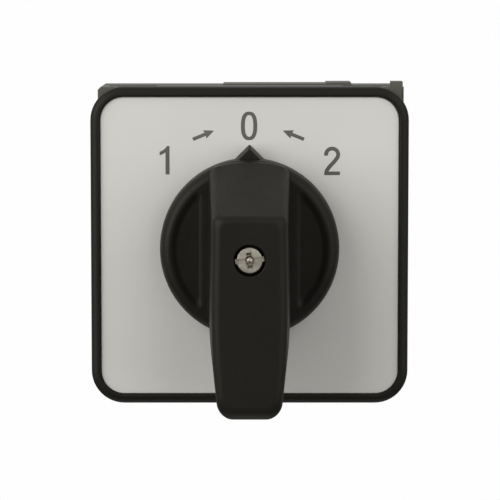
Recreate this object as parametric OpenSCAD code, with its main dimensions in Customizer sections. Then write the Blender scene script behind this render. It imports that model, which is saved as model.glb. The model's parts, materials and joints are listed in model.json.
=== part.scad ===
// Rotary cam changeover switch for panel mounting: 1 - 0 - 2 with spring return to 0.
// Every module is drawn facing the user: x to the right, y up, z out of the panel towards the user,
// and z = 0 is the panel's front surface. facing() turns that into the row frame,
// where the front looks along -Y and +Z is up.

/* [Front] */
// Side of the square bezel
bezel_side = 48; // [48:0.5:50]
// Outer corner radius of the bezel
bezel_corner = 5; // [4.5:0.5:6]
// Width of the bezel's visible rim
bezel_rim = 1.45; // [1.4:0.05:1.8]
// Height of the bezel's rim above the panel
bezel_height = 5.3; // [5.2:0.1:6]

/* [Handle] */
// Diameter of the handle's disc at its foot
disc_d = 26.9; // [26.5:0.1:28]
// Height of the grip's flat front above the legend plate
grip_height = 22; // [21:0.5:24]
// Reach of the grip's lower end from the axis
grip_reach = 23.3; // [21.5:0.1:23.5]
// Width of the grip at its foot, next to the pointer
grip_width = 12; // [11.8:0.1:12.8]

/* [Mounting] */
// Distance between the fixing screws, both ways
hole_pitch = 36; // [35.5:0.5:36]
// Diameter of the fixing holes
hole_d = 4.5; // [4.3:0.1:4.6]

/* [Switching] */
// Number of contact units behind the mechanism
contact_units = 3; // [1:1:4]
// Depth of one contact unit
unit_depth = 9.5; // [9.5:0.25:11]
// Handle's turn from 0 to 1 or to 2, in degrees
throw_angle = 45; // [40:1:45]
// Travel of a contact plunger over one throw
contact_travel = 1.6; // [1.4:0.1:1.7]

/* [Hidden] */
SIDES = ["left", "right"];
UNITS = [for (i = [1:contact_units]) i];
$fn = 64;

BLACK = [0.12, 0.12, 0.115];
DARK_GREY = [0.27, 0.27, 0.25];
PLATE_GREY = [0.78, 0.78, 0.76];
RUBBER = [0.08, 0.08, 0.08];
NATURAL = [0.86, 0.84, 0.76];
STEEL = [0.72, 0.71, 0.68];
BRASS = [0.80, 0.66, 0.36];
COPPER = [0.80, 0.50, 0.34];

// How far a cutting shape passes the face that it opens
over = 1;
// Gaps: a loose fit, and a snug one
fit_gap = 0.1;
snug_gap = 0.05;

// Front, from the panel outwards
gasket_depth = 1.3;
gasket_inset = 1.2;
gasket_width = 1.5;
bezel_back = 0.3;
plate_seat = 3.6;
plate_depth = 1.2;
plate_front = plate_seat + snug_gap + plate_depth;
plate_half = bezel_side / 2 - bezel_rim;
plate_corner = bezel_corner - 1.5;
hub_r = 8.2;
hub_front = 5.6;
collar_r = 6.2;
collar_front = 3.4;
seal_r = 5.2;
seal_back = 1.4;
screw_well_r = 4.2;
screw_well_back = 1.8;

// Handle
disc_r = disc_d / 2;
disc_back = 5.9;
rim_front = 11.2;
rim_r = disc_r - 0.6;
rim_round = 1.5;
rim_depth = 2.3;
pocket_r = disc_r - rim_round;
pocket_floor = 10.9;
pocket_dish = 0.05;
pocket_slope = 0.9;
pocket_inner = 6.9;
grip_front = plate_front + grip_height;
grip_top_y = 5.7;
grip_foot_y = 12.4;
grip_round = 1.6;
grip_waist_y = -10.6;
grip_draft = 0.65;
grip_end_half = 4.95;
grip_end_r = 2.2;
grip_underside = 8.8;
pointer_tip = 15.4;
pointer_half = 3.5;
pointer_front = 9.2;
head_seat = 23.8;
recess_r = 2.3;
screw_clear_r = 1.6;
washer_r = 2.0;
washer_depth = 0.4;
screw_head_r = 2.1;
screw_head_height = 2;
screw_slot = 0.55;
screw_slot_depth = 0.6;
screw_cross_r = 0.62;
screw_cross_depth = 1.3;

// Shaft
journal_r = 4.0;
journal_gap = 0.08;
shaft_clear_r = 4.3;
square = 5.6;
shaft_front = 18.4;
journal_front = 7.9;
journal_back = -3.0;
pin_r = 2.5;
pin_length = 2.4;
screw_core_r = 1.3;

// Mechanism
housing_w = 46.2;
housing_h = 47.6;
housing_chamfer = 0.4;
housing_foot_chamfer = 2;
housing_back = -16;
// Along the housing's upper edge: a raised pad, a latch hook, and at the right-hand corner a rail with a tab
pad_front = -8.5;
pad_start = -4.1;
pad_rise = 0.2;
hook_start = 11.95;
hook_end = 15.75;
hook_rise = 0.4;
rail_front = -1;
rail_start = 21.7;
rail_end = 23.5;
rail_drop = 3.2;
tab_back = -5;
tab_start = 21.55;
tab_end = 23.35;
tab_rise = 0.8;
front_wall = 2.6;
cavity_r = 16.2;
driver_front = -3.2;
driver_back = -7.4;
driver_r = 9;
driver_hub_r = 5.2;
driver_hub_back = -14.8;
lug_half_angle = 10;
lug_r = 14.5;
stop_gap_angle = 0.8;
stop_half_angle = 7;
stop_r = 11.5;
spring_r = 7.2;
spring_wire_r = 0.5;
leg_hole_r = 0.65;
spring_turns = 3.5;
nut_front = -4;
nut_depth = 3.3;
nut_flats = 7;
screw_room_back = -11;
nut_bore_r = 1.78;

// Stack
stack_w = 46;
stack_h = 45;
stack_chamfer = 3;
plate_back = housing_back - 2;
tie_y = 18.9;
tie_r = 1.45;
tie_hole_r = 1.7;
insert_r = 2.0;
insert_depth = 6;
stack_back = plate_back - contact_units * unit_depth;
cover_back = stack_back - 3;
boss_r = 8;
boss_depth = 1.2;
tie_seat = cover_back + 1.4;
tie_head_depth = 1.8;

// Contact unit, right-hand side. The left-hand side is its mirror image.
unit_wall = 1.4;
cam_depth = 6;
nose_r = 1.2;
nose_gap = 0.15;
nose_x = 9.0;
plunger_half_y = 2.9;
plunger_half_z = 3.4;
plunger_back = 16.4;
bridge_x = 12.2;
bridge_thick = 0.8;
bridge_half = 9.6;
tip_y = 8;
tip_gap = 0.05;
bridge_tip_x = 11.6;
fixed_tip_x = bridge_tip_x - contact_travel - tip_gap;
strip_thick = 0.7;
strip_half_z = 3;
strip_inner_y = 5.6;
shelf_y = 11.1;
terminal_x = 18.1;
terminal_y = 15.7;
terminal_top = 20.2;
clamp_x = 20.3;
clamp_thick = 0.8;
head_depth = 1.6;
head_r = 2.75;
access_r = 3.1;
spring_seat_x = 14.4;
channel_start = 7.8;
channel_end = 21.2;
cam_room_r = 10.2;
pitch_slope = contact_travel / throw_angle;

function unit_front(i) = plate_back - (i - 1) * unit_depth;
function unit_middle(i) = unit_front(i) - unit_wall - (unit_depth - unit_wall) / 2;

module facing() { rotate([90, 0, 0]) children(); }

module rounded_square(w, h, r) {
    square([w - 2 * r, h], center = true);
    square([w, h - 2 * r], center = true);
    for (x = [-1, 1], y = [-1, 1])
        translate([x * (w / 2 - r), y * (h / 2 - r)]) circle(r);
}

// Part of a ring, half degrees to each side of straight down
module lower_sector(r0, r1, half) {
    w = 2 * r1 * sin(half);
    intersection() {
        difference() {
            circle(r1);
            circle(r0);
        }
        polygon([[0, 0], [-w, -2 * r1 * cos(half)], [w, -2 * r1 * cos(half)]]);
    }
}

module chamfered_square(w, h, c) {
    polygon([[w / 2, h / 2 - c], [w / 2 - c, h / 2], [c - w / 2, h / 2], [-w / 2, h / 2 - c],
             [-w / 2, c - h / 2], [c - w / 2, -h / 2], [w / 2 - c, -h / 2], [w / 2, c - h / 2]]);
}

// Hole for the shaft's square
module square_bore() {
    side = square + fit_gap;
    square([side, side], center = true);
}

// Anything of one outline between two heights
module slab(back, front) { translate([0, 0, back]) linear_extrude(front - back) children(); }

module at_corners(pitch) {
    for (x = [-1, 1], y = [-1, 1]) translate([x * pitch / 2, y * pitch / 2, 0]) children();
}

// Above and below the shaft, where the tie screws run
module at_ties() { for (y = [-tie_y, tie_y]) translate([0, y, 0]) children(); }

// A closed tube of radius r swept along points, with one ring at each point
module swept_tube(points, r, sides) {
    n = len(points);
    function along(k) = points[min(k + 1, n - 1)] - points[max(k - 1, 0)];
    function ring(k) =
        let (t = along(k) / norm(along(k)),
             side = abs(t[2]) > 0.9 ? [1, 0, 0] : [0, 0, 1],
             u = cross(t, side) / norm(cross(t, side)),
             v = cross(t, u))
        [for (j = [0:sides - 1]) let (a = 360 * j / sides) points[k] + r * (cos(a) * u + sin(a) * v)];
    polyhedron(
        points = [for (k = [0:n - 1]) each ring(k)],
        faces = concat(
            [[for (j = [0:sides - 1]) j]],
            [for (k = [0:n - 2]) for (j = [0:sides - 1]) let (m = (j + 1) % sides)
                each [[k * sides + j, (k + 1) * sides + j, (k + 1) * sides + m],
                      [k * sides + j, (k + 1) * sides + m, k * sides + m]]],
            [[for (j = [sides - 1:-1:0]) (n - 1) * sides + j]]));
}

// ---------------------------------------------------------------- front

module bezel() {
    color(BLACK) facing() difference() {
        union() {
            slab(bezel_back, plate_seat) rounded_square(bezel_side, bezel_side, bezel_corner);
            slab(plate_seat, bezel_height) difference() {
                rounded_square(bezel_side, bezel_side, bezel_corner);
                rounded_square(2 * plate_half, 2 * plate_half, plate_corner);
            }
            slab(plate_seat, hub_front) circle(hub_r);
        }
        slab(bezel_back - over, hub_front + over) circle(collar_r + fit_gap);
        at_corners(hole_pitch) {
            slab(bezel_back - over, plate_seat + over) circle(hole_d / 2);
            slab(screw_well_back, plate_seat + over) circle(screw_well_r);
        }
        slab(-over, gasket_depth) gasket_ring(snug_gap);
    }
}

// The gasket's outline, or with a gap that of the groove it lies in
module gasket_ring(gap) {
    outer = bezel_side - 2 * gasket_inset;
    inner = outer - 2 * gasket_width;
    difference() {
        rounded_square(outer + 2 * gap, outer + 2 * gap, bezel_corner - gasket_inset);
        rounded_square(inner - 2 * gap, inner - 2 * gap, bezel_corner - gasket_inset - gasket_width);
    }
}

module panel_gasket() {
    color(RUBBER) facing() slab(0, gasket_depth) gasket_ring(0);
}

module legend_plate() {
    side = 2 * (plate_half - snug_gap);
    color(PLATE_GREY) facing() slab(plate_seat + snug_gap, plate_front) difference() {
        rounded_square(side, side, plate_corner);
        circle(hub_r + 2 * fit_gap);
    }
}

// ---------------------------------------------------------------- handle

// The grip seen from the front: parallel beside the disc, then tapered towards its rounded lower end
module grip_outline(inset) {
    hull() {
        translate([0, (grip_foot_y + grip_waist_y) / 2])
            square([grip_width - 2 * inset, grip_foot_y - grip_waist_y], center = true);
        for (x = [-1, 1])
            translate([x * (grip_end_half - inset - grip_end_r), grip_end_r - grip_reach])
                circle(grip_end_r, $fn = 32);
    }
}

// The grip seen from the side, as [y, z]
grip_side = [[grip_foot_y, disc_back], [grip_foot_y, rim_front], [grip_top_y + 0.4, grip_front - 1],
             [grip_top_y - 0.7, grip_front], [grip_round - grip_reach, grip_front],
             [0.3 * grip_round - grip_reach, grip_front - 0.3 * grip_round],
             [-grip_reach, grip_front - grip_round], [0.4 - grip_reach, grip_underside + 2.4],
             [-disc_r, grip_underside], [1.5 - disc_r, disc_back]];

module grip() {
    intersection() {
        hull() {
            slab(disc_back, disc_back + fit_gap) grip_outline(0);
            slab(grip_front - fit_gap, grip_front) grip_outline(grip_draft);
        }
        rotate([90, 0, 90]) translate([0, 0, -disc_r]) linear_extrude(disc_d) polygon(grip_side);
        // Its upper end follows the edge of the disc
        union() {
            slab(disc_back, grip_front) circle(rim_r - fit_gap);
            slab(disc_back, grip_front) translate([-disc_r, -2 * disc_r]) square([disc_d, disc_d]);
        }
    }
}

module handle_disc() {
    // The edge is rounded off as a quarter of an ellipse
    edge = [for (a = [0:15:90])
        [pocket_r + rim_round * cos(a), rim_front + rim_depth * (sin(a) - 1)]];
    difference() {
        rotate_extrude() polygon(concat([[0, disc_back], [disc_r, disc_back]], edge, [[0, rim_front]]));
        for (side = [-1, 1]) intersection() {
            rotate_extrude()
                polygon([[0, pocket_floor - pocket_dish], [pocket_r - pocket_slope, pocket_floor],
                         [pocket_r, rim_front + over], [0, rim_front + over]]);
            translate([side * (pocket_inner + disc_r), 0, rim_front])
                cube([disc_d, disc_d, disc_back], center = true);
        }
    }
}

module handle() {
    color(BLACK) facing() difference() {
        union() {
            handle_disc();
            grip();
            slab(disc_back, pointer_front)
                polygon([[-pointer_half, rim_r - 1], [pointer_half, rim_r - 1], [0, pointer_tip]]);
        }
        slab(disc_back - over, shaft_front + 2 * fit_gap) square_bore();
        slab(disc_back - over, journal_front + fit_gap) circle(journal_r + fit_gap);
        slab(shaft_front, head_seat + over) circle(screw_clear_r);
        slab(head_seat, grip_front + over) circle(recess_r);
    }
}

module handle_washer() {
    color(STEEL) facing() slab(head_seat, head_seat + washer_depth) difference() {
        circle(washer_r);
        circle(screw_core_r);
    }
}

module handle_screw() {
    seat = head_seat + washer_depth;
    head_front = seat + screw_head_height;
    color(STEEL) facing() difference() {
        union() {
            slab(journal_front + 2, seat) circle(screw_core_r - snug_gap);
            rotate_extrude()
                polygon([[0, seat], [screw_head_r, seat], [screw_head_r, head_front - 0.6],
                         [screw_head_r - 0.3, head_front - 0.2], [screw_head_r - 0.7, head_front],
                         [0, head_front]]);
        }
        translate([0, 0, head_front])
            cube([3 * screw_head_r, screw_slot, 2 * screw_slot_depth], center = true);
        slab(head_front - screw_cross_depth, head_front + over) circle(screw_cross_r);
    }
}

// ---------------------------------------------------------------- shaft

module shaft() {
    color(STEEL) facing() difference() {
        union() {
            slab(stack_back + 2 * fit_gap, shaft_front) square([square, square], center = true);
            slab(journal_back, journal_front) circle(journal_r);
            slab(stack_back - pin_length, stack_back + over) circle(pin_r);
        }
        slab(journal_front - over, shaft_front + over) circle(screw_core_r);
    }
}

module shaft_seal() {
    color(RUBBER) facing() slab(seal_back, collar_front - 2 * fit_gap) difference() {
        circle(seal_r - snug_gap);
        circle(journal_r + journal_gap);
    }
}

// ---------------------------------------------------------------- mechanism

module housing_outline() {
    w = housing_w / 2;
    h = housing_h / 2;
    c = housing_chamfer;
    f = housing_foot_chamfer;
    polygon([[w, h - c], [w - c, h], [c - w, h], [-w, h - c],
             [-w, f - h], [f - w, -h], [w - f, -h], [w, f - h]]);
}

// Something that stands on the housing's upper edge, from x0 to x1 and rise above it
module edge_bar(back, front, x0, x1, rise, foot = over) {
    slab(back, front) translate([x0, housing_h / 2 - foot]) square([x1 - x0, foot + rise]);
}

module housing_body() {
    slab(housing_back, 0) housing_outline();
    slab(0, collar_front) circle(collar_r);
    edge_bar(housing_back, pad_front, pad_start, hook_start + fit_gap, pad_rise);
    edge_bar(housing_back, pad_front, hook_start, hook_end, hook_rise);
    edge_bar(housing_back, rail_front, rail_start, rail_end, 0, rail_drop);
    edge_bar(tab_back, rail_front, tab_start, tab_end, tab_rise);
}

module nut_outline(gap) { rotate(30) circle((nut_flats + 2 * gap) / sqrt(3), $fn = 6); }

// Pockets that open through the upper and lower walls, so that the nuts can be slid in
module nut_slots() {
    at_corners(hole_pitch) slab(nut_front - nut_depth, nut_front) nut_outline(fit_gap);
    for (x = [-1, 1], y = [-1, 1])
        slab(nut_front - nut_depth, nut_front)
            translate([x * hole_pitch / 2, y * (hole_pitch / 2 + nut_flats)])
                square([nut_flats + 2 * fit_gap, 2 * nut_flats], center = true);
}

module stop_blocks() {
    for (side = [-1, 1])
        slab(driver_back, snug_gap - front_wall)
            rotate(side * (lug_half_angle + throw_angle + stop_gap_angle + stop_half_angle))
                lower_sector(stop_r, cavity_r + 0.4, stop_half_angle);
}

module mechanism_housing() {
    color(DARK_GREY) facing() {
        difference() {
            housing_body();
            slab(housing_back - over, -front_wall) circle(cavity_r);
            slab(-front_wall - over, seal_back + over) circle(journal_r + journal_gap);
            slab(seal_back, collar_front + over) circle(seal_r);
            at_corners(hole_pitch) slab(screw_room_back, over) circle(hole_d / 2);
            nut_slots();
            at_ties() slab(housing_back - over, housing_back + insert_depth) circle(insert_r + snug_gap);
        }
        stop_blocks();
    }
}

module mounting_nuts() {
    color(STEEL) facing() at_corners(hole_pitch)
        slab(nut_front - nut_depth + snug_gap, nut_front - snug_gap) difference() {
            nut_outline(0);
            circle(nut_bore_r);
        }
}

module tie_inserts() {
    color(BRASS) facing() at_ties() slab(housing_back, housing_back + insert_depth) difference() {
        circle(insert_r);
        circle(tie_r + snug_gap);
    }
}

module return_driver() {
    color(NATURAL) facing() difference() {
        union() {
            slab(driver_back, driver_front) circle(driver_r);
            slab(driver_hub_back, driver_back + over) circle(driver_hub_r);
            slab(driver_back, driver_front) lower_sector(driver_r - over, lug_r, lug_half_angle);
        }
        slab(driver_hub_back - over, driver_front + over) square_bore();
        translate([0, spring_r]) slab(driver_back - over, driver_front + over) circle(leg_hole_r);
    }
}

// Front leg in the driver, coil round its hub, rear leg in the bearing plate
spring_front = driver_back - spring_wire_r - 0.3;
spring_back = housing_back + spring_wire_r + 0.6;
spring_steps = 14 * spring_turns;
function coil_point(k) =
    let (a = 90 + 360 * spring_turns * k / spring_steps,
         z = spring_front + (spring_back - spring_front) * k / spring_steps)
    [spring_r * cos(a), spring_r * sin(a), z];
spring_path = concat(
    [[0, spring_r, driver_back + 2.4]],
    [for (k = [0:spring_steps]) coil_point(k)],
    [[coil_point(spring_steps)[0], coil_point(spring_steps)[1], housing_back - 1.5]]);

module return_spring() {
    color(STEEL) facing() swept_tube(spring_path, spring_wire_r, 8);
}

module bearing_plate() {
    color(BLACK) facing() slab(plate_back, housing_back) difference() {
        chamfered_square(stack_w, stack_h, stack_chamfer);
        circle(shaft_clear_r);
        translate([0, -spring_r]) circle(leg_hole_r);
        at_ties() circle(tie_hole_r);
    }
}

// ---------------------------------------------------------------- contact units

// Half of the cam's outline: the nose's path less the nose, which gives a steady travel per degree
function pitch_r(a) = nose_x - pitch_slope * a;
function cam_point(a) =
    let (slope = -pitch_slope * 180 / PI,
         r = pitch_r(a),
         n = [slope * sin(a) + r * cos(a), r * sin(a) - slope * cos(a)],
         away = nose_r + nose_gap)
    [r * cos(a), r * sin(a)] - away * n / norm(n);
cam_reach = throw_angle + 12;
cam_half = [for (a = [-cam_reach:3:cam_reach]) cam_point(a)];

module cam(i) {
    flank = [for (k = [len(cam_half) - 1:-1:0]) [-cam_half[k][0], cam_half[k][1]]];
    color(NATURAL) facing() slab(unit_middle(i) - cam_depth / 2, unit_middle(i) + cam_depth / 2)
        difference() {
            polygon(concat(cam_half, flank));
            square_bore();
        }
}

// The same piece on the right, or mirrored to the left
module on_side(side) { mirror([side == "left" ? 1 : 0, 0, 0]) children(); }

module both_sides() { for (s = SIDES) on_side(s) children(); }

module bar(x0, x1, y0, y1, half_z) {
    translate([x0, y0, -half_z]) cube([x1 - x0, y1 - y0, 2 * half_z]);
}

module along_x(x0, x1, r) { translate([x0, 0, 0]) rotate([0, 90, 0]) cylinder(h = x1 - x0, r = r); }

// Room for the cam, the two plungers, the contacts and the terminals, open at the rear
module chamber_spaces() {
    half = (unit_depth - unit_wall) / 2 + 0.01;
    slab(-half, half) circle(cam_room_r);
    both_sides() {
        bar(channel_start, channel_end, -plunger_half_y - 0.3, plunger_half_y + 0.3, half);
        bar(channel_start, 15.8, -shelf_y - 0.9, shelf_y + 0.9, half);
        for (m = [0, 1]) mirror([0, m, 0]) {
            bar(15, terminal_x + 0.9, shelf_y - 0.1, shelf_y + 0.9, half);
            bar(terminal_x - 0.1, clamp_x + clamp_thick + 0.1, shelf_y - 0.1, terminal_top + 0.2, half);
            bar(terminal_x + 0.8, clamp_x + clamp_thick, terminal_top, stack_h / 2 + 1, 3.3);
            translate([0, terminal_y, 0]) along_x(13, terminal_x, 1.7);
            translate([0, terminal_y, 0]) along_x(clamp_x, stack_w / 2 + 1, access_r);
        }
    }
}

module chamber(i) {
    color(BLACK) facing() difference() {
        union() {
            slab(unit_front(i) - unit_depth, unit_front(i))
                chamfered_square(stack_w, stack_h, stack_chamfer);
            // Raised pad on the upper and lower edges, to tell the unit's way round
            for (y = [-1, 1])
                translate([12, y * (stack_h / 2 - 0.65), unit_front(i) - unit_depth / 2])
                    cube([3.4, 1.8, unit_depth - 3], center = true);
        }
        translate([0, 0, unit_middle(i)]) chamber_spaces();
        slab(unit_front(i) - unit_wall - over, unit_front(i) + over) circle(shaft_clear_r);
        if (i == 1)
            translate([0, -spring_r]) slab(unit_front(i) - unit_wall / 2, unit_front(i) + over)
                circle(leg_hole_r);
        at_ties() slab(unit_front(i) - unit_depth - over, unit_front(i) + over) circle(tie_hole_r);
    }
}

module plunger(side, i) {
    color(NATURAL) facing() translate([0, 0, unit_middle(i)]) on_side(side) difference() {
        union() {
            translate([nose_x, 0, -cam_depth / 2]) cylinder(h = cam_depth, r = nose_r);
            bar(nose_x, plunger_back, -plunger_half_y, plunger_half_y, plunger_half_z);
        }
        bar(bridge_x - 0.15, bridge_x + bridge_thick + 0.15, -5, 5, 1.9);
        along_x(spring_seat_x, plunger_back + 1, 2.5);
    }
}

// Copper bridge with a silver-faced tip at each end
module bridge(side, i) {
    color(COPPER) facing() translate([0, 0, unit_middle(i)]) on_side(side) {
        bar(bridge_x, bridge_x + bridge_thick, -bridge_half, bridge_half, 1.75);
        for (y = [-tip_y, tip_y]) translate([0, y, 0]) along_x(bridge_tip_x, bridge_x + 0.1, 1.2);
    }
}

module contact_spring(side, i) {
    turns = 4.5;
    steps = 10 * turns;
    x0 = spring_seat_x + 0.3;
    x1 = channel_end - 0.3;
    path = [for (k = [0:steps]) let (a = 360 * turns * k / steps)
        [x0 + (x1 - x0) * k / steps, 1.9 * cos(a), 1.9 * sin(a)]];
    color(STEEL) facing() translate([0, 0, unit_middle(i)]) on_side(side) swept_tube(path, 0.25, 6);
}

module fixed_contact() {
    back = fixed_tip_x - 0.5;
    t = strip_thick;
    difference() {
        translate([0, 0, -strip_half_z]) linear_extrude(2 * strip_half_z)
            polygon([[back - t, strip_inner_y], [back, strip_inner_y], [back, shelf_y],
                     [terminal_x + t, shelf_y], [terminal_x + t, terminal_top],
                     [terminal_x, terminal_top], [terminal_x, shelf_y + t], [back - t, shelf_y + t]]);
        translate([0, terminal_y, 0]) along_x(terminal_x - 1, terminal_x + 2, screw_core_r);
    }
    translate([0, tip_y, 0]) along_x(back - 0.1, fixed_tip_x, 1.2);
}

module at_terminals() {
    both_sides() for (m = [0, 1]) mirror([0, m, 0]) children();
}

module fixed_contacts(i) {
    color(BRASS) facing() translate([0, 0, unit_middle(i)]) at_terminals() fixed_contact();
}

module terminal_clamps(i) {
    color(STEEL) facing() translate([0, 0, unit_middle(i)]) at_terminals() difference() {
        bar(clamp_x, clamp_x + clamp_thick, terminal_y - 3, terminal_y + 3, 3.1);
        translate([0, terminal_y, 0]) along_x(clamp_x - 1, clamp_x + 2, 1.6);
    }
}

module terminal_screws(i) {
    head_x = clamp_x + clamp_thick;
    color(STEEL) facing() translate([0, 0, unit_middle(i)]) at_terminals()
        translate([0, terminal_y, 0]) difference() {
            union() {
                along_x(14, head_x + fit_gap, screw_core_r - snug_gap);
                along_x(head_x, head_x + head_depth, head_r);
            }
            translate([head_x + head_depth, 0, 0]) cube([1.4, 6, 0.8], center = true);
            translate([head_x + head_depth, 0, 0]) cube([1.8, 0.9, 3], center = true);
        }
}

// ---------------------------------------------------------------- rear

module rear_cover() {
    color(BLACK) facing() difference() {
        union() {
            slab(cover_back, stack_back) chamfered_square(stack_w, stack_h, stack_chamfer);
            slab(cover_back - boss_depth, cover_back) circle(boss_r);
        }
        slab(stack_back - pin_length - 2 * fit_gap, stack_back + over) circle(pin_r + journal_gap);
        at_ties() {
            slab(cover_back - over, stack_back + over) circle(tie_hole_r);
            slab(cover_back - over, tie_seat) circle(head_r + 0.3);
        }
    }
}

module tie_screws() {
    color(STEEL) facing() at_ties() difference() {
        union() {
            slab(tie_seat - tie_head_depth, tie_seat) circle(head_r);
            slab(tie_seat - fit_gap, housing_back + insert_depth - 0.5) circle(tie_r);
        }
        translate([0, 0, tie_seat - tie_head_depth]) {
            cube([3 * head_r, 0.8, 1.4], center = true);
            cube([0.9, 3, 1.8], center = true);
        }
    }
}

// ---------------------------------------------------------------- nodes

bezel();
panel_gasket();
legend_plate();
handle();
handle_washer();
handle_screw();
shaft();
shaft_seal();
mechanism_housing();
mounting_nuts();
tie_inserts();
return_driver();
return_spring();
bearing_plate();
rear_cover();
tie_screws();
for (i = UNITS) {
    chamber(i);
    cam(i);
    fixed_contacts(i);
    terminal_clamps(i);
    terminal_screws(i);
    for (s = SIDES) {
        plunger(s, i);
        bridge(s, i);
        contact_spring(s, i);
    }
}
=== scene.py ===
import json
import math

import bmesh
import bpy
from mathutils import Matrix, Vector


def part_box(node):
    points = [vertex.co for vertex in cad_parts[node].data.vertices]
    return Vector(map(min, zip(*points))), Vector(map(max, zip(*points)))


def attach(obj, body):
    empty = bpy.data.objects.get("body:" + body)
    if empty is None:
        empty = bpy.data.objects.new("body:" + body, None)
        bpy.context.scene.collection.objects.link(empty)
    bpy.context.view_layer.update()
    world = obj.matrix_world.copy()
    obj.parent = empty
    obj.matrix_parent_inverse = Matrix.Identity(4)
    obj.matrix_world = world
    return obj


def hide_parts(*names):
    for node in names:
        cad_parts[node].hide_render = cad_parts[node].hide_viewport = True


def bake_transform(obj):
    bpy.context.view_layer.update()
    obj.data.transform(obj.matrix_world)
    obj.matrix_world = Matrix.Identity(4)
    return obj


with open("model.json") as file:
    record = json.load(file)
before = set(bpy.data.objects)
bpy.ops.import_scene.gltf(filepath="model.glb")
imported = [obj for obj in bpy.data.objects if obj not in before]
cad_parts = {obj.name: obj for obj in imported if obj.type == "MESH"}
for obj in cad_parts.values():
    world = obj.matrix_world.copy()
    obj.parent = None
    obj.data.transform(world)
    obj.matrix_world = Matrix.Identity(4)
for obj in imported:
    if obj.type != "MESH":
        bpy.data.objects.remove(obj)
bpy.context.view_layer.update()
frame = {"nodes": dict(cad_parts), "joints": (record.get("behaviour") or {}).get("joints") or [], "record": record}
NODES = frame["nodes"]
SLOT_OF = {s["node"]: s["material_slot"] for s in frame["record"]["subparts"]}
SLIDES = [j for j in frame["joints"] if j["type"] == "slide"]
MM = 0.001
TAU = 2 * math.pi

# Shapes are given in facing millimetres: x right, y up, z out of the panel towards the user.


def row(p):
    """A point in facing millimetres, in the row frame's metres."""
    return (p[0] * MM, -p[2] * MM, p[1] * MM)


def facing_box(node):
    """A CAD node's (x, y, z) limits in facing millimetres."""
    lo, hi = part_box(node)
    return [(lo.x / MM, hi.x / MM), (lo.z / MM, hi.z / MM), (-hi.y / MM, -lo.y / MM)]


# ---------------------------------------------------------------- mesh tools

def mesh_object(name, points, faces):
    mesh = bpy.data.meshes.new(name)
    mesh.from_pydata([row(p) for p in points], [], faces)
    obj = bpy.data.objects.new(name, mesh)
    bpy.context.scene.collection.objects.link(obj)
    bm = bmesh.new()
    bm.from_mesh(mesh)
    bmesh.ops.recalc_face_normals(bm, faces=bm.faces)
    bm.to_mesh(mesh)
    bm.free()
    return obj


def skin(rings, ends):
    """Points and faces over rings of equal count.

    ends: flat closes each end with one face, ladder closes the ends of mirrored rings with
    strips of quads, and loop joins the last ring to the first."""
    n = len(rings[0])
    points = [p for ring in rings for p in ring]
    faces = []
    last = len(rings) if ends == "loop" else len(rings) - 1
    for k in range(last):
        a, b = k * n, (k + 1) % len(rings) * n
        for i in range(n):
            j = (i + 1) % n
            faces.append((a + i, a + j, b + j, b + i))
    top = (len(rings) - 1) * n
    for base in (0, top):
        if ends == "flat":
            faces.append(tuple(base + i for i in range(n)))
        if ends == "ladder":
            for i in range(n // 2 - 1):
                faces.append((base + i, base + i + 1, base + n - 2 - i, base + n - 1 - i))
    return points, faces


def loft(name, rings, ends="flat"):
    return mesh_object(name, *skin(rings, ends))


def ring_at(outline, z):
    return [(x, y, z) for x, y in outline]


def circle(r, n=128, cx=0.0, cy=0.0):
    return [(cx + r * math.cos(TAU * k / n), cy + r * math.sin(TAU * k / n)) for k in range(n)]


def lathe(name, profile, n):
    """Solid of revolution about the shaft's axis. profile: (r, z) pairs from back to front."""
    rings = [[(r * math.cos(TAU * k / n), r * math.sin(TAU * k / n), z) for k in range(n)]
             for r, z in profile]
    return loft(name, rings)


def prism(name, outline, z0, z1):
    return loft(name, [ring_at(outline, z0), ring_at(outline, z1)])


def rounded_square(half, r, per_corner=12):
    pts = []
    for cx, cy, start in ((1, 1, 0), (-1, 1, 1), (-1, -1, 2), (1, -1, 3)):
        for k in range(per_corner + 1):
            a = (start + k / per_corner) * math.pi / 2
            pts.append((cx * (half - r) + r * math.cos(a), cy * (half - r) + r * math.sin(a)))
    return pts


def fillet(p0, p1, centre, steps):
    """Quarter-ellipse points from p0 to p1 about a centre, in any plane."""
    out = []
    for k in range(steps + 1):
        a = math.pi / 2 * k / steps
        out.append(tuple(c + (u - c) * math.cos(a) + (v - c) * math.sin(a)
                         for u, v, c in zip(p0, p1, centre)))
    return out


def settle(obj):
    """Applies the object's modifiers."""
    bpy.context.view_layer.update()
    graph = bpy.context.evaluated_depsgraph_get()
    mesh = bpy.data.meshes.new_from_object(obj.evaluated_get(graph))
    obj.modifiers.clear()
    obj.data = mesh


def carve(obj, operation, cutters):
    """Applies one boolean for each cutter in turn, and removes the cutters."""
    for cutter in cutters:
        m = obj.modifiers.new("solid", "BOOLEAN")
        m.operation, m.solver, m.object = operation, "EXACT", cutter
        settle(obj)
        bpy.data.objects.remove(cutter)


def smooth(obj, angle=32):
    """Smooth shading within each patch, sharp where faces meet at more than angle degrees."""
    bm = bmesh.new()
    bm.from_mesh(obj.data)
    bmesh.ops.remove_doubles(bm, verts=bm.verts, dist=2e-7)
    bmesh.ops.dissolve_degenerate(bm, edges=bm.edges, dist=1e-7)
    bm.to_mesh(obj.data)
    bm.free()
    obj.data.shade_smooth()
    obj.data.set_sharp_from_angle(angle=math.radians(angle))
    m = obj.modifiers.new("normals", "WEIGHTED_NORMAL")
    m.keep_sharp, m.weight = True, 60
    return obj


def place(obj, body, material, nodes=()):
    """Gives a piece its material and its body, and hides the CAD nodes that it stands for."""
    obj.data.materials.clear()
    obj.data.materials.append(material)
    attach(obj, body)
    if nodes:
        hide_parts(*nodes)


# ---------------------------------------------------------------- materials

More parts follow.
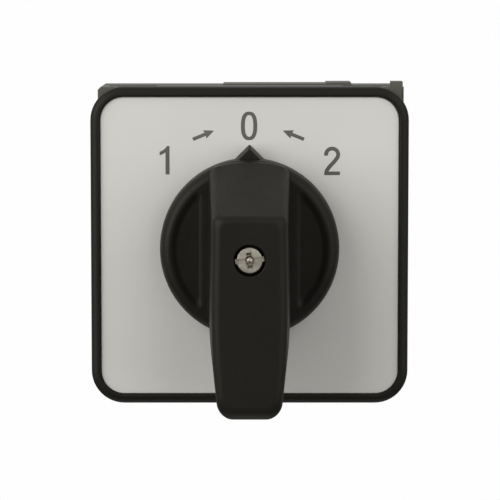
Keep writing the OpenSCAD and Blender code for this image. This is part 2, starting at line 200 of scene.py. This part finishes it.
class Surface:
    """A principled material whose colour, roughness and bump come from noise in object space."""

    def __init__(self, name, metallic=0.0, specular=0.5, stretch=(1, 1, 1), tint=(1, 1, 1)):
        self.mat = bpy.data.materials.new(name)
        self.mat.use_nodes = True
        self.nodes, self.links = self.mat.node_tree.nodes, self.mat.node_tree.links
        self.bsdf = self.nodes["Principled BSDF"]
        self.bsdf.inputs["Metallic"].default_value = metallic
        self.bsdf.inputs["Specular IOR Level"].default_value = specular
        self.bsdf.inputs["Specular Tint"].default_value = (*tint, 1)
        coords = self.nodes.new("ShaderNodeTexCoord")
        self.mapping = self.nodes.new("ShaderNodeMapping")
        self.mapping.inputs["Scale"].default_value = stretch
        self.links.new(coords.outputs["Object"], self.mapping.inputs["Vector"])
        self.coords = coords.outputs["Object"]

    def noise(self, size_mm, detail=2.0, plain=False):
        n = self.nodes.new("ShaderNodeTexNoise")
        n.inputs["Scale"].default_value = 1 / (size_mm * MM)
        n.inputs["Detail"].default_value = detail
        self.links.new(self.coords if plain else self.mapping.outputs[0], n.inputs["Vector"])
        return n.outputs["Fac"]

    def spread(self, value, lo, hi, start=0.3, end=0.7):
        n = self.nodes.new("ShaderNodeMapRange")
        n.inputs["From Min"].default_value, n.inputs["From Max"].default_value = start, end
        n.inputs["To Min"].default_value, n.inputs["To Max"].default_value = lo, hi
        self.links.new(value, n.inputs["Value"])
        return n.outputs["Result"]

    def math(self, op, a, b=0.0):
        n = self.nodes.new("ShaderNodeMath")
        n.operation = op
        for socket, v in zip(n.inputs, (a, b)):
            if isinstance(v, (int, float)):
                socket.default_value = v
            else:
                self.links.new(v, socket)
        return n.outputs[0]

    def mix(self, factor, a, b):
        n = self.nodes.new("ShaderNodeMix")
        n.data_type = "RGBA"
        self.links.new(factor, n.inputs["Factor"])
        for socket, v in ((n.inputs[6], a), (n.inputs[7], b)):
            if isinstance(v, tuple):
                socket.default_value = (*v, 1)
            else:
                self.links.new(v, socket)
        return n.outputs[2]

    def axis(self, index):
        n = self.nodes.new("ShaderNodeSeparateXYZ")
        self.links.new(self.coords, n.inputs[0])
        return n.outputs[index]

    def colour(self, value):
        self.links.new(value, self.bsdf.inputs["Base Color"])

    def roughness(self, value):
        self.links.new(value, self.bsdf.inputs["Roughness"])

    def bump(self, height, depth_um):
        n = self.nodes.new("ShaderNodeBump")
        n.inputs["Strength"].default_value = 1.0
        n.inputs["Distance"].default_value = depth_um * 1e-6
        self.links.new(height, n.inputs["Height"])
        self.links.new(n.outputs["Normal"], self.bsdf.inputs["Normal"])


def scaled(rgb, k):
    return tuple(c * k for c in rgb)


def moulded(name, rgb, rough, grain_mm, depth_um=14.0, mottle=0.10, specular=0.5, tint=(1, 1, 1)):
    """Spark-eroded moulded plastic: pitted grain, faint flow mottle, patches of changing gloss."""
    s = Surface(name, specular=specular, tint=tint)
    grain, pits, flow = s.noise(grain_mm, 3), s.noise(grain_mm * 0.45, 1), s.noise(9, 3)
    tone = s.math("ADD", s.math("MULTIPLY", flow, 0.7), s.math("MULTIPLY", grain, 0.3))
    s.colour(s.mix(s.spread(tone, 0, 1), scaled(rgb, 1 - mottle), scaled(rgb, 1 + mottle)))
    s.roughness(s.math("ADD", s.spread(grain, rough - 0.07, rough + 0.07),
                       s.spread(flow, -0.04, 0.04)))
    s.bump(s.math("ADD", s.math("MULTIPLY", grain, 0.75), s.math("MULTIPLY", pits, 0.25)), depth_um)
    return s.mat


def metal(name, rgb, rough, stretch, scratch_mm=0.08, depth_um=4.0):
    """Plated or drawn metal: streaks along one way, faint staining."""
    s = Surface(name, metallic=1.0, stretch=stretch)
    streaks, stains = s.noise(scratch_mm, 2), s.noise(1.6, 3, plain=True)
    fine = s.noise(0.12, 2, plain=True)
    s.colour(s.mix(s.spread(stains, 0, 1), scaled(rgb, 0.92), scaled(rgb, 1.08)))
    s.roughness(s.math("ADD", s.spread(streaks, rough - 0.08, rough + 0.08),
                       s.spread(stains, -0.05, 0.05)))
    s.bump(s.math("ADD", streaks, s.math("MULTIPLY", fine, 0.5)), depth_um)
    return s.mat


def tipped(name, rgb, tip_rgb, tip_mm, half_mm):
    """Stamped copper, silver within half_mm of the heights tip_mm above and below the axis."""
    s = Surface(name, metallic=1.0, stretch=(1, 1, 0.08))
    streaks, stains = s.noise(0.08, 2), s.noise(1.6, 3, plain=True)
    height = s.math("ABSOLUTE", s.axis(2))
    tip = s.math("LESS_THAN", s.math("ABSOLUTE", s.math("SUBTRACT", height, tip_mm * MM)), half_mm * MM)
    base = s.mix(s.spread(stains, 0, 1), scaled(rgb, 0.9), scaled(rgb, 1.08))
    s.colour(s.mix(tip, base, tip_rgb))
    s.roughness(s.spread(streaks, 0.28, 0.44))
    s.bump(streaks, 3)
    return s.mat


MATERIALS = {
    "black_thermoplastic": moulded("black_plastic", (0.0078, 0.0072, 0.0057), 0.47, grain_mm=0.2,
                                   depth_um=32, specular=0.18, tint=(1, 0.965, 0.89)),
    "dark_grey_thermoplastic": moulded("grey_plastic", (0.084, 0.079, 0.066), 0.55, grain_mm=0.3),
    "legend_plate_grey": moulded("plate_grey", (0.58, 0.575, 0.548), 0.62, grain_mm=0.35,
                                 depth_um=5, mottle=0.015),
    "gasket_rubber": moulded("rubber", (0.012, 0.012, 0.012), 0.75, grain_mm=0.12, depth_um=8,
                             mottle=0.2, specular=0.3),
    "natural_polymer": moulded("natural_polymer", (0.66, 0.62, 0.50), 0.38, grain_mm=0.4,
                               depth_um=5, mottle=0.04),
    "nickel_plated_steel": metal("nickel_plate", (0.50, 0.47, 0.40), 0.42, (1, 1, 1), 0.25, 16),
    "zinc_plated_steel": metal("zinc_plate", (0.60, 0.61, 0.60), 0.30, (1, 0.2, 1)),
    "bright_steel": metal("bright_steel", (0.56, 0.56, 0.55), 0.26, (1, 0.05, 1)),
    "spring_steel": metal("spring_wire", (0.42, 0.41, 0.38), 0.24, (1, 1, 1)),
    "brass": metal("brass", (0.66, 0.47, 0.17), 0.28, (1, 1, 0.08)),
    "bridge_copper": tipped("contact_copper", (0.70, 0.36, 0.22), (0.80, 0.79, 0.76),
                            tip_mm=8, half_mm=1.25),
}
INK = moulded("printed_ink", (0.090, 0.087, 0.074), 0.55, grain_mm=0.18, depth_um=3, mottle=0.3)


# ---------------------------------------------------------------- bezel, plate and marks

def radial(outline, r):
    """Points of a circle of radius r in the same directions as the outline's points."""
    return [(r * x / math.hypot(x, y), r * y / math.hypot(x, y)) for x, y in outline]


def build_bezel():
    (x0, x1), _, (back, hub_front) = facing_box("bezel")
    half, corner, back_edge = (x1 - x0) / 2, 5.0, 0.25
    front_in, front_down, lip_in, lip_down = 1.1, 1.0, 0.25, 0.28  # roundings of the front rim
    front, seat = back + 5.0, back + 3.3
    inner = facing_box("legend_plate")[0][1] + 0.05
    rim = half - inner
    hub_outer, hub_inner, hub_edge = 8.2, 6.3, 0.2
    groove_out, groove_in, groove_front = 1.15, 2.75, 1.3
    fixing, hole_r, well_r, well_back = 18, 2.25, 4.2, 1.8

    outline = rounded_square(inner, corner - rim)
    rings = [ring_at(rounded_square(half - back_edge, corner - back_edge), back),
             ring_at(rounded_square(half, corner), back + back_edge)]
    shoulder, lip = front - front_down, front - lip_down
    for inset, z in fillet((0, shoulder), (front_in, front), (front_in, shoulder), 9):
        rings.append(ring_at(rounded_square(half - inset, corner - inset), z))
    for inset, z in fillet((lip_in, front), (0, lip), (lip_in, lip), 4):
        rings.append(ring_at(rounded_square(inner + inset, corner - rim + inset), z))
    rings.append(ring_at(outline, seat))
    for r, z in ((hub_outer, seat), (hub_outer, hub_front - hub_edge),
                 (hub_outer - hub_edge, hub_front), (hub_inner, hub_front), (hub_inner, back)):
        rings.append(ring_at(radial(outline, r), z))
    for inset, z in ((groove_in, back), (groove_in, groove_front), (groove_out, groove_front),
                     (groove_out, back)):
        rings.append(ring_at(rounded_square(half - inset, corner - inset), z))
    obj = loft("bezel_frame", rings, "loop")

    cutters = []
    for x in (-fixing, fixing):
        for y in (-fixing, fixing):
            cutters.append(prism("hole", circle(hole_r, 40, x, y), -1, seat + 1))
            cutters.append(prism("well", circle(well_r, 56, x, y), well_back, seat + 1))
    carve(obj, "DIFFERENCE", cutters)
    place(smooth(obj), "switch_body", MATERIALS["black_thermoplastic"],
          ["bezel"])


def build_plate():
    (x0, x1), _, (back, front) = facing_box("legend_plate")
    half, corner, bevel, hole = (x1 - x0) / 2, 3.5, 0.16, 8.4
    side = rounded_square(half, corner)
    rings = [ring_at(side, back), ring_at(side, front - bevel)]
    for inset, z in fillet((0, front - bevel), (bevel, front), (bevel, front - bevel), 3)[1:]:
        rings.append(ring_at(rounded_square(half - inset, corner - inset), z))
    rings.append(ring_at(radial(side, hole + bevel), front))
    rings.append(ring_at(radial(side, hole), front - bevel))
    rings.append(ring_at(radial(side, hole), back))
    obj = loft("legend_face", rings, "loop")
    place(smooth(obj), "switch_body", MATERIALS["legend_plate_grey"],
          ["legend_plate"])


def stroke(points, width):
    """Outline of a line of even width through points, with mitred bends and square ends."""
    sides = ([], [])
    for k, (x, y) in enumerate(points):
        ax, ay = points[max(k - 1, 0)]
        bx, by = points[min(k + 1, len(points) - 1)]
        before, after = Vector((x - ax, y - ay)), Vector((bx - x, by - y))
        before = before.normalized() if before.length else after.normalized()
        after = after.normalized() if after.length else before
        tangent = (before + after).normalized()
        normal = Vector((-tangent.y, tangent.x))
        reach = width / 2 / max(0.4, normal.dot(Vector((-before.y, before.x))))
        sides[0].append((x + normal.x * reach, y + normal.y * reach))
        sides[1].append((x - normal.x * reach, y - normal.y * reach))
    return sides[0] + sides[1][::-1]


def superellipse(rx, ry, power, n=64):
    out = []
    for k in range(n):
        c, s = math.cos(TAU * k / n), math.sin(TAU * k / n)
        out.append((rx * math.copysign(abs(c) ** (2 / power), c),
                    ry * math.copysign(abs(s) ** (2 / power), s)))
    return out


def shifted(outline, x, y, turn=0.0):
    """The outline turned by turn degrees about its own origin, then moved to (x, y)."""
    c, s = math.cos(math.radians(turn)), math.sin(math.radians(turn))
    return [(x + c * px - s * py, y + s * px + c * py) for px, py in outline]


def build_marks():
    """Printed digits and arrows: slabs as thick as the ink, sunk a little into the plate."""
    face = facing_box("legend_plate")[2][1]
    low, high = face - 0.03, face + 0.02
    path, half, pen = 18.0, 2.15, 0.58  # radius of the marks, half a digit's height, line width
    side = path * math.sin(math.radians(45))
    off_x, off_y, one_up, right_in = -0.08, 0.16, 0.1, 0.2  # the print is a little off its places

    def mark(name, outlines, hole=None):
        solids = [prism(name, o, low, high) for o in outlines]
        if len(solids) > 1:
            carve(solids[0], "UNION", solids[1:])
        if hole:
            carve(solids[0], "DIFFERENCE", [prism("hole", hole, low - 1, high + 1)])
        place(smooth(solids[0]), "switch_body", INK)

    zero_half = 1.22
    mark("mark_0", [shifted(superellipse(zero_half, half, 2.5), off_x, path + off_y)],
         shifted(superellipse(zero_half - pen, half - pen * 0.9, 2.4), off_x, path + off_y))
    one = [(0.74, -half), (0.74, half), (0.36, half), (0.12, 1.82), (-0.22, 1.52), (-0.74, 1.28),
           (-0.74, 0.74), (-0.28, 0.92), (0.14, 1.20), (0.14, -half)]
    mark("mark_1", [shifted(one, off_x - side, side + off_y + one_up)])
    bowl_r, bowl_x, bowl_y = 0.91, -0.02, 0.95
    bowl = [(bowl_x + bowl_r * math.cos(math.radians(a)), bowl_y + bowl_r * math.sin(math.radians(a)))
            for a in range(190, -36, -9)]
    two = [stroke(bowl + [(0.30, -0.12), (-0.40, -0.86), (-0.80, -1.42), (-0.92, -1.80)], pen),
           [(-1.21, -half), (1.17, -half), (1.17, -half + 0.55), (-1.16, -half + 0.55)]]
    mark("mark_2", [shifted(o, side + off_x - right_in, side + off_y) for o in two])
    shaft, head = 0.26, 0.68
    arrow = [(-1.7, -shaft), (0.3, -shaft), (0.22, -head), (1.75, 0), (0.22, head), (0.3, shaft),
             (-1.7, shaft)]
    for name, angle, turn, x in (("arrow_left", 112.5, 22.5, off_x),
                                 ("arrow_right", 67.5, 157.5, off_x - right_in)):
        a = math.radians(angle)
        mark(name, [shifted(arrow, path * math.cos(a) + x, path * math.sin(a) + off_y, turn)])


# ---------------------------------------------------------------- handle

# Heights in front of the panel, the disc's radius, and how far down the lever reaches
DISC_BACK, RIM_FRONT, GRIP_FRONT = 5.9, 11.2, 26.85
DISC_R = 13.45
GRIP_REACH = -facing_box("handle")[1][0]


def pocket_outline(radius, chord, corner):
    """Segment of a disc cut off at x = chord, with rounded corners, on the right-hand side."""
    arc_steps, corner_steps = 48, 14
    cx = chord + corner
    cy = math.sqrt((radius - corner) ** 2 - cx ** 2)
    a = math.atan2(cy, cx)
    angles = [-a + 2 * a * k / arc_steps for k in range(arc_steps + 1)]
    pts = [(radius * math.cos(t), radius * math.sin(t)) for t in angles]
    for sign, first, last, count in ((1, a, math.pi, corner_steps + 1),
                                     (-1, math.pi, TAU - a, corner_steps)):
        angles = [first + (last - first) * k / corner_steps for k in range(1, count)]
        pts += [(cx + corner * math.cos(t), sign * cy + corner * math.sin(t)) for t in angles]
    return pts


def build_pocket(sign):
    """Cutter for one shallow pocket, whose floor rises in an S to the rim and to the grip's foot."""
    rim_r, floor_r, rim_x, floor_x, floor, steps = 11.9, 10.7, 7.15, 7.55, 10.9, 12
    corner, corner_growth, dish = 0.35, 0.2, 0.03
    depth = RIM_FRONT - floor
    rings = []
    foot = pocket_outline(floor_r, floor_x, corner)
    mid = sum(x for x, _ in foot) / len(foot)
    for k in (0.04, 0.5, 0.85):
        rings.append([(mid + (x - mid) * k, y * k, floor - dish * (1 - k)) for x, y in foot])
    for k in range(steps + 1):
        u = k / steps
        outline = pocket_outline(floor_r + (rim_r - floor_r) * u, floor_x + (rim_x - floor_x) * u,
                                 corner + corner_growth * u)
        rings.append(ring_at(outline, floor + depth * (1 - math.cos(math.pi * u)) / 2))
    rings.append(ring_at(outline, RIM_FRONT + 1))
    return loft("pocket", [[(sign * x, y, z) for x, y, z in ring] for ring in rings])


def smoothstep(a, b, x):
    t = min(1.0, max(0.0, (x - a) / (b - a)))
    return t * t * (3 - 2 * t)


def grip_ring(t, under=0.0):
    """Outline of the lever at share t of its height, mirrored left to right from x = 0.

    The base follows the disc and then climbs under the overhanging end. under pulls the outline
    in below the base, to round that end's edge."""
    half, draft = 5.98, 0.67
    edge_side, edge_top, edge_end = 1.3, 0.7, 1.9
    foot_y, top_y = 13.1, 6.1  # the sloping upper face, at the rim's height and at the top
    base, step_y, base_step, base_climb, climb_length = 8.0, -13.45, 0.8, 2.4, 9.5
    end_lean, r_up, r_low, end_half = 0.105 / 15.6, 1.25, 2.4, 5.1
    flare_r, flare_z = 0.55, 11.7  # fillet between the lever's sides and the disc
    face_steps, corner_steps, side_steps = 10, 8, 40
    height = GRIP_FRONT - RIM_FRONT

    def level(y):
        low = base + base_step * smoothstep(-12.6, -13.5, y)
        low += base_climb * min(1.0, max(0.0, (step_y - y) / climb_length))
        return low + (GRIP_FRONT - low) * t

    def inset(z, r):
        d = max(0.0, z - (GRIP_FRONT - r))
        return r - math.sqrt(max(0.0, r * r - d * d))

    z_mid, z_end = level(0.0), level(-22.0)
    rise = max(0.0, (z_mid - RIM_FRONT) / height)
    slope_lean = math.sqrt(1 + ((foot_y - top_y) / height) ** 2)
    upper = foot_y - (foot_y - top_y) * rise
    upper -= inset(z_mid, edge_top) / slope_lean * 1.15 + under
    bulge = 0.95 * (1 - 0.9 * smoothstep(0, 1, rise))
    lower = -GRIP_REACH + inset(z_end, edge_end) + under + end_lean * (z_end - RIM_FRONT)

    def width(y, z):
        up = max(0.0, z - RIM_FRONT) / height
        w = half - draft * up + 0.17 * smoothstep(6.0, -8.0, y)
        w -= (0.0043 - 0.0017 * up) * max(0.0, -6.0 - y) ** 2 + 0.16 * smoothstep(-15.0, -21.0, y)
        w -= inset(z, edge_side) + under
        flare = flare_r - math.sqrt(max(0.0, flare_r ** 2 - min(0.5, max(0.0, flare_z - z)) ** 2))
        return w + flare * smoothstep(-11.0, -9.6, y) * (1 - smoothstep(9.8, 11.2, y))

    spec = []  # (share of the half width, y) from the upper middle to the lower middle
    for k in range(face_steps):
        spec.append(((k + 0.5) / face_steps * (1 - r_up / half), upper))
    for k in range(1, corner_steps + 1):
        a = math.pi / 2 * k / corner_steps
        spec.append((1 - r_up / half * (1 - math.sin(a)), upper - r_up * (1 - math.cos(a))))
    for k in range(1, side_steps):
        spec.append((1.0, upper - r_up + (lower + r_low - upper + r_up) * k / side_steps))
    for k in range(corner_steps + 1):
        a = math.pi / 2 * k / corner_steps
        spec.append((1 - r_low / end_half * (1 - math.cos(a)), lower + r_low * (1 - math.sin(a))))
    for k in range(6):
        spec.append(((1 - r_low / end_half) * (1 - (k + 0.7) / 6.4), lower))

    ring = []
    for share, y in spec:
        bulged = y + bulge * ((1 - share ** 2) - 1) * smoothstep(upper - 4.5, upper, y)
        z = level(bulged)
        ring.append((-share * width(bulged, z), bulged, z))
    return ring + [(-x, y, z) for x, y, z in ring[::-1]]


def build_grip():
    edge, pulled_in = 0.6, 2.6  # rounding of the base's edge, and the closing face inside it
    low, corner = 0.034, 0.895  # shares of the height where the base's and the top's rounding end
    rings = [grip_ring(0.0, pulled_in), grip_ring(0.0, edge)]
    for k in range(1, 5):
        a = math.pi / 2 * k / 4
        rings.append(grip_ring(low * (1 - math.cos(a)), edge * (1 - math.sin(a))))
    levels = [low + (corner - low) * k / 30 for k in range(1, 31)]
    levels += [0.175, 0.18, 0.185, 0.19, 0.195]  # closer together where the disc's rim meets it
    top = [corner + (1 - corner) * math.sin(math.pi / 2 * k / 14) for k in range(1, 15)]
    rings += [grip_ring(t) for t in sorted(levels) + top]
    return loft("grip", rings, "ladder")


def pointer_ring(inset, z):
    """A right-angled arrowhead with a rounded tip, its base sunk in the disc."""
    base, nose, apex = 11.25, 0.2, 15.48 - inset * 1.41
    half = apex - base
    outline = [(-half, base), (half, base), (nose, apex - nose), (nose * 0.5, apex - nose * 0.6),
               (0, apex - nose * 0.45), (-nose * 0.5, apex - nose * 0.6), (-nose, apex - nose)]
    return ring_at(outline, z)


def build_handle():
    """Disc, pockets, lever and pointer in one, with the shaft's socket and the screw's recess."""
    shoulder, crest, back_edge = 8.9, DISC_R - 1.55, 0.2
    profile = [(0.01, DISC_BACK), (DISC_R - back_edge, DISC_BACK), (DISC_R, DISC_BACK + back_edge)]
    profile += fillet((DISC_R - 0.03, shoulder), (crest, RIM_FRONT), (crest, shoulder), 14)
    profile += [(0.01, RIM_FRONT)]
    obj = lathe("handle_lever", profile, 200)
    pointer_front, pointer_draft, pointer_edge = 9.2, 0.3, 0.45
    pointer = loft("pointer", [pointer_ring(0, DISC_BACK + 0.1),
                               pointer_ring(pointer_draft, pointer_front - 0.25),
                               pointer_ring(pointer_edge, pointer_front)])
    carve(obj, "DIFFERENCE", [build_pocket(1), build_pocket(-1)])
    carve(obj, "UNION", [build_grip(), pointer])

    seat = facing_box("handle_washer")[2][0]
    recess_r, chamfer, over = 2.3, 0.12, 0.1
    screw_r, journal_r, journal_front, socket, socket_front = 1.6, 4.1, 8.0, 2.85, 18.6
    recess = [(0.01, seat), (recess_r, seat), (recess_r, GRIP_FRONT - chamfer),
              (recess_r + chamfer + over, GRIP_FRONT + over), (0.01, GRIP_FRONT + over)]
    square = [(-socket, -socket), (socket, -socket), (socket, socket), (-socket, socket)]
    carve(obj, "DIFFERENCE", [
        lathe("recess", recess, 96),
        prism("hole", circle(screw_r, 48), 17, seat + 1),
        prism("socket", square, 0, socket_front),
        prism("journal_bore", circle(journal_r, 80), 0, journal_front)])
    place(smooth(obj, 28), "rotor", MATERIALS["black_thermoplastic"],
          ["handle"])


def build_screw():
    """Pan head with a driving slot and a cross recess, turned a little off level."""
    back, top = facing_box("handle_screw")[2]
    seat = top - 2.0
    radius, thread_r, turn = 2.1, 1.25, 6.0
    face_r, deep, wide = 1.84, 0.7, 0.38
    profile = [(0.01, back), (thread_r - 0.15, back), (thread_r, back + 0.15), (thread_r, seat),
               (radius - 0.05, seat), (radius, seat + 0.05), (radius, top - deep),
               (face_r + 0.04, top - 0.2)]
    profile += fillet((face_r + 0.03, top - 0.16), (face_r - 0.12, top - 0.04),
                      (face_r - 0.12, top - 0.16), 4)
    profile += [(1.2, top - 0.02), (0.01, top)]
    obj = lathe("screw_head", profile, 96)

    def wing(angle, reach, half):
        rings = []
        for x, y, z in ((reach * 0.6, half * 0.7, top - 0.95), (reach, half, top + 0.1)):
            rings.append(ring_at(shifted([(-x, -y), (x, -y), (x, y), (-x, y)], 0, 0, angle), z))
        return loft("wing", rings)

    slot = prism("slot", shifted([(-3, -wide), (3, -wide), (3, wide), (-3, wide)], 0, 0, turn),
                 top - deep, top + 1)
    core = loft("core", [ring_at(circle(0.62, 32), top - 1.2), ring_at(circle(0.74, 32), top + 0.1)])
    carve(obj, "DIFFERENCE", [slot, core, wing(turn, 1.0, 0.3), wing(turn + 90, 1.22, 0.4)])
    nib = [(0.01, top - 1.3), (0.52, top - 1.3), (0.50, top - 0.95), (0.40, top - 0.76),
           (0.22, top - 0.66), (0.01, top - 0.63)]
    carve(obj, "UNION", [lathe("nib", nib, 40)])
    place(smooth(obj, 30), "rotor", MATERIALS["nickel_plated_steel"],
          ["handle_screw"])


# ---------------------------------------------------------------- springs

def tube(name, path, radius, sides):
    """Closed wire of round section along a path of facing-millimetre points."""
    pts = [Vector(p) for p in path]
    rings = []
    normal = None
    for k, p in enumerate(pts):
        tangent = (pts[min(k + 1, len(pts) - 1)] - pts[max(k - 1, 0)]).normalized()
        if normal is None:
            normal = tangent.orthogonal().normalized()
        normal = (normal - tangent * normal.dot(tangent)).normalized()
        side = tangent.cross(normal)
        rings.append([tuple(p + (normal * c + side * s) * radius) for c, s in circle(1, sides)])
    return smooth(loft(name, rings), 50)


def spring(node, path, wire, sides):
    """The wire for one spring node, in place of the hidden node. It is baked where it lies between its two bodies
    and is not tied to either.
    """
    obj = tube(node + "_wire", path, wire, sides)
    obj.data.materials.append(MATERIALS["spring_steel"])
    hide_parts(node)
    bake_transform(obj)


def build_return_spring():
    back, front = facing_box("return_spring")[2]
    coil_r, turns, steps = 7.2, 3.5, 168
    z0, z1, leg = -8.2, -14.9, 0.5
    path = [(0, coil_r, front), (0, coil_r, z0 + leg)]
    for k in range(steps + 1):
        a = math.radians(90 + 360 * turns * k / steps)
        path.append((coil_r * math.cos(a), coil_r * math.sin(a), z0 + (z1 - z0) * k / steps))
    path += [(0, -coil_r, z1 - leg), (0, -coil_r, back)]
    spring("return_spring", path, 0.5, 10)


def build_contact_springs():
    wire, coil_r, turns, steps = 0.25, 1.9, 4.5, 150
    for joint in SLIDES:
        node = joint["deforming_nodes"][0]["node"]
        (x0, x1), _, (z0, z1) = facing_box(node)
        start, end = (x0 + wire, x1 - wire) if x0 > 0 else (x1 - wire, x0 + wire)
        mid = (z0 + z1) / 2
        path = []
        for k in range(steps + 1):
            a = TAU * turns * k / steps
            path.append((start + (end - start) * k / steps, coil_r * math.cos(a),
                         mid + coil_r * math.sin(a)))
        spring(node, path, wire, 8)


# ---------------------------------------------------------------- CAD nodes that stay

# Edge rounding in millimetres, by node or by the first word of its name
EDGES = {"mechanism_housing": 0.25, "bearing_plate": 0.2, "rear_cover": 0.3, "panel_gasket": 0.2,
         "mounting_nuts": 0.2, "tie_inserts": 0.1, "return_driver": 0.2, "shaft": 0.15,
         "tie_screws": 0.15, "shaft_seal": 0.1, "handle_washer": 0.05}
FAMILY_EDGES = {"chamber": 0.25, "cam": 0.2, "plunger": 0.2, "bridge": 0.1, "fixed": 0.08,
                "terminal": 0.12}


def finish_cad_nodes():
    """Materials and rounded edges for the nodes that no piece has replaced."""
    for name, obj in NODES.items():
        if obj.hide_render:
            continue
        obj.data.materials.clear()
        obj.data.materials.append(MATERIALS[SLOT_OF[name]])
        weld = obj.modifiers.new("weld", "WELD")
        weld.merge_threshold = 2e-6
        flat = obj.modifiers.new("flat", "DECIMATE")
        flat.decimate_type, flat.angle_limit = "DISSOLVE", math.radians(0.4)
        bevel = obj.modifiers.new("edge", "BEVEL")
        bevel.width = MM * EDGES.get(name, FAMILY_EDGES.get(name.split("_")[0], 0.1))
        bevel.segments, bevel.limit_method, bevel.angle_limit = 2, "ANGLE", math.radians(38)
        bevel.use_clamp_overlap = True
        normals = obj.modifiers.new("normals", "WEIGHTED_NORMAL")
        normals.keep_sharp = False


# ---------------------------------------------------------------- light, floor and camera

LIGHT_COLOUR = (1, 0.995, 0.98)


def looking(obj, eye_mm, aim_mm):
    """Links a light or camera and points it from eye to aim."""
    bpy.context.scene.collection.objects.link(obj)
    eye, aim = Vector(row(eye_mm)), Vector(row(aim_mm))
    obj.location = eye
    obj.rotation_euler = (aim - eye).to_track_quat("-Z", "Y").to_euler()


def area_light(name, place_mm, size, watts):
    data = bpy.data.lights.new(name, "AREA")
    data.shape, data.size, data.energy, data.color = "SQUARE", size, watts, LIGHT_COLOUR
    looking(bpy.data.objects.new(name, data), place_mm, (0, 0, 10))


def build_world():
    """White to the camera. As light, a tent brightest behind the object and dim below."""
    level_even, level_behind, level_up, level_least = 0.29, 0.25, 0.36, 0.04
    world = bpy.data.worlds.new("studio")
    bpy.context.scene.world = world
    world.use_nodes = True
    nodes, links = world.node_tree.nodes, world.node_tree.links
    nodes.clear()
    out = nodes.new("ShaderNodeOutputWorld")
    mix = nodes.new("ShaderNodeMixShader")
    path = nodes.new("ShaderNodeLightPath")
    shown, fill = nodes.new("ShaderNodeBackground"), nodes.new("ShaderNodeBackground")
    coords, split = nodes.new("ShaderNodeTexCoord"), nodes.new("ShaderNodeSeparateXYZ")
    shown.inputs["Color"].default_value = (0.99, 0.99, 0.99, 1)
    fill.inputs["Color"].default_value = (*LIGHT_COLOUR, 1)
    links.new(coords.outputs["Generated"], split.inputs[0])

    def chain(op, a, b):
        n = nodes.new("ShaderNodeMath")
        n.operation = op
        links.new(a, n.inputs[0])
        if isinstance(b, float):
            n.inputs[1].default_value = b
        else:
            links.new(b, n.inputs[1])
        return n.outputs[0]

    behind = chain("POWER", chain("MULTIPLY", chain("ADD", split.outputs["Y"], 1.0), 0.5), 2.0)
    level = chain("ADD", chain("MULTIPLY", behind, level_behind), level_even)
    level = chain("ADD", level, chain("MULTIPLY", split.outputs["Z"], level_up))
    links.new(chain("MAXIMUM", level, level_least), fill.inputs["Strength"])
    links.new(path.outputs["Is Camera Ray"], mix.inputs["Fac"])
    links.new(fill.outputs[0], mix.inputs[1])
    links.new(shown.outputs[0], mix.inputs[2])
    links.new(mix.outputs[0], out.inputs["Surface"])


def build_floor():
    radius, top, bottom = 380, -600, -610
    rings = [[(x, level, -y) for x, y in circle(radius, 96)] for level in (bottom, top)]
    obj = loft("studio_floor", rings)
    obj.data.materials.append(moulded("floor_white", (0.86, 0.86, 0.85), 0.7, grain_mm=4,
                                      depth_um=50, mottle=0.01))


def build_studio():
    scene = bpy.context.scene
    scene.view_settings.view_transform = "Standard"
    build_world()
    build_floor()
    area_light("key", (-600, 230, 480), 0.80, 6.2)
    area_light("fill", (600, 220, 560), 1.00, 4.2)
    camera = bpy.data.cameras.new("camera")
    camera.lens, camera.sensor_width, camera.clip_start, camera.clip_end = 191.5, 36, 0.01, 20
    scene.camera = bpy.data.objects.new("camera", camera)
    looking(scene.camera, (0, 39.2, 404.86), (0.06, -0.60, 4.86))


build_studio()
build_bezel()
build_plate()
build_marks()
build_handle()
build_screw()
build_return_spring()
build_contact_springs()
finish_cad_nodes()
